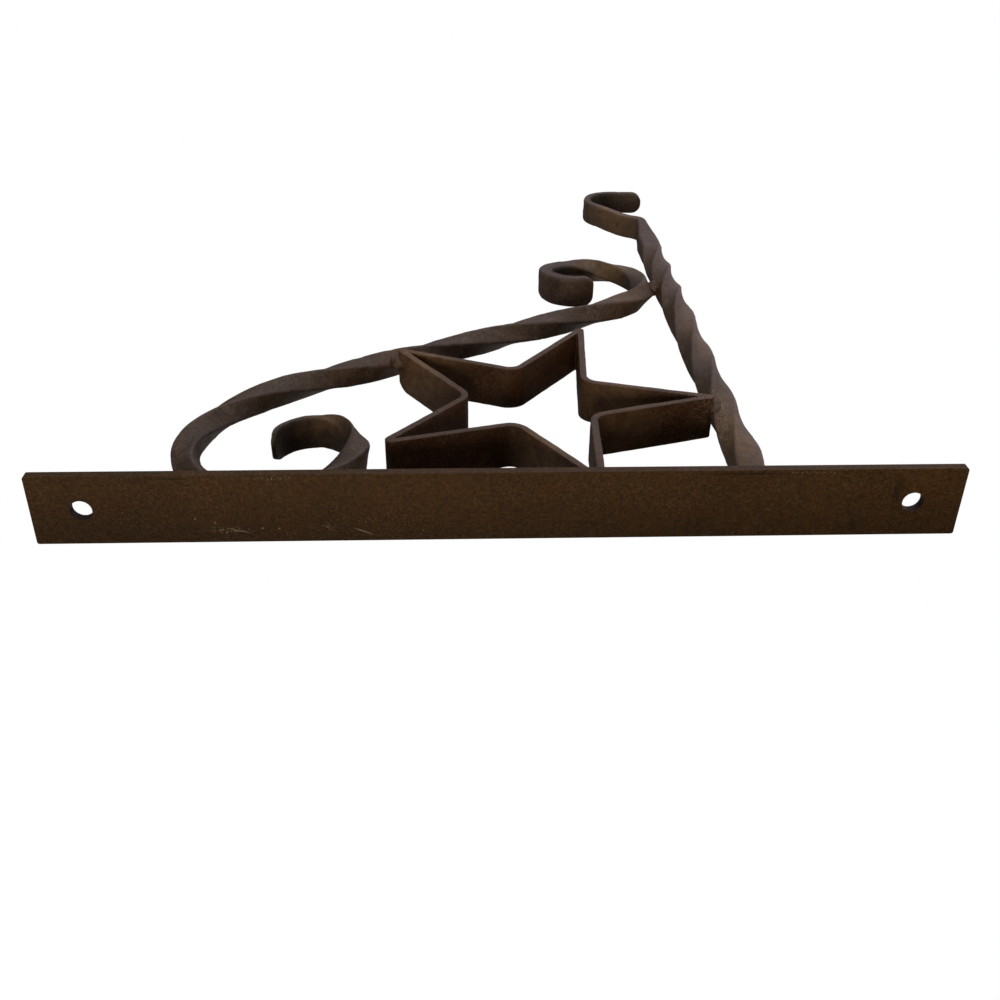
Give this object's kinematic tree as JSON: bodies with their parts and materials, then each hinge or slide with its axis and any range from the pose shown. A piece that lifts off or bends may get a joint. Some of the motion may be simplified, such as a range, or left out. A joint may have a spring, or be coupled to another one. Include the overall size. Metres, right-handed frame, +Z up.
{
  "type": "plant hanger bracket",
  "caption": "Wrought iron wall bracket for a hanging plant: flat back plate, twisted arm with a hook at its end, S scroll brace and an open star.",
  "frame": {"origin": "middle of the wall plate's back face, which lies against the wall", "axes": "+X out from the wall along the arm, +Z up the wall along the plate, Y sideways through the thickness of the bars"},
  "size_m": [0.5094, 0.0382, 0.4572],
  "materials": {
    "wall_plate": "worn brown patina with rust tint",
    "hanger_arm": "worn grey brown patina",
    "scroll_brace": "worn grey brown patina",
    "star": "worn brown patina with rust tint",
    "weld": "lumpy grey brown weld metal"
  },
  "bodies": {
    "root": {"wall_plate": "wall_plate", "hanger_arm": "hanger_arm", "scroll_brace": "scroll_brace", "star": "star", "weld_arm_plate": "weld", "weld_brace_plate": "weld", "weld_star_plate": "weld", "weld_star_arm": "weld", "weld_star_brace": "weld", "weld_brace_arm": "weld"}
  },
  "joints": []
}
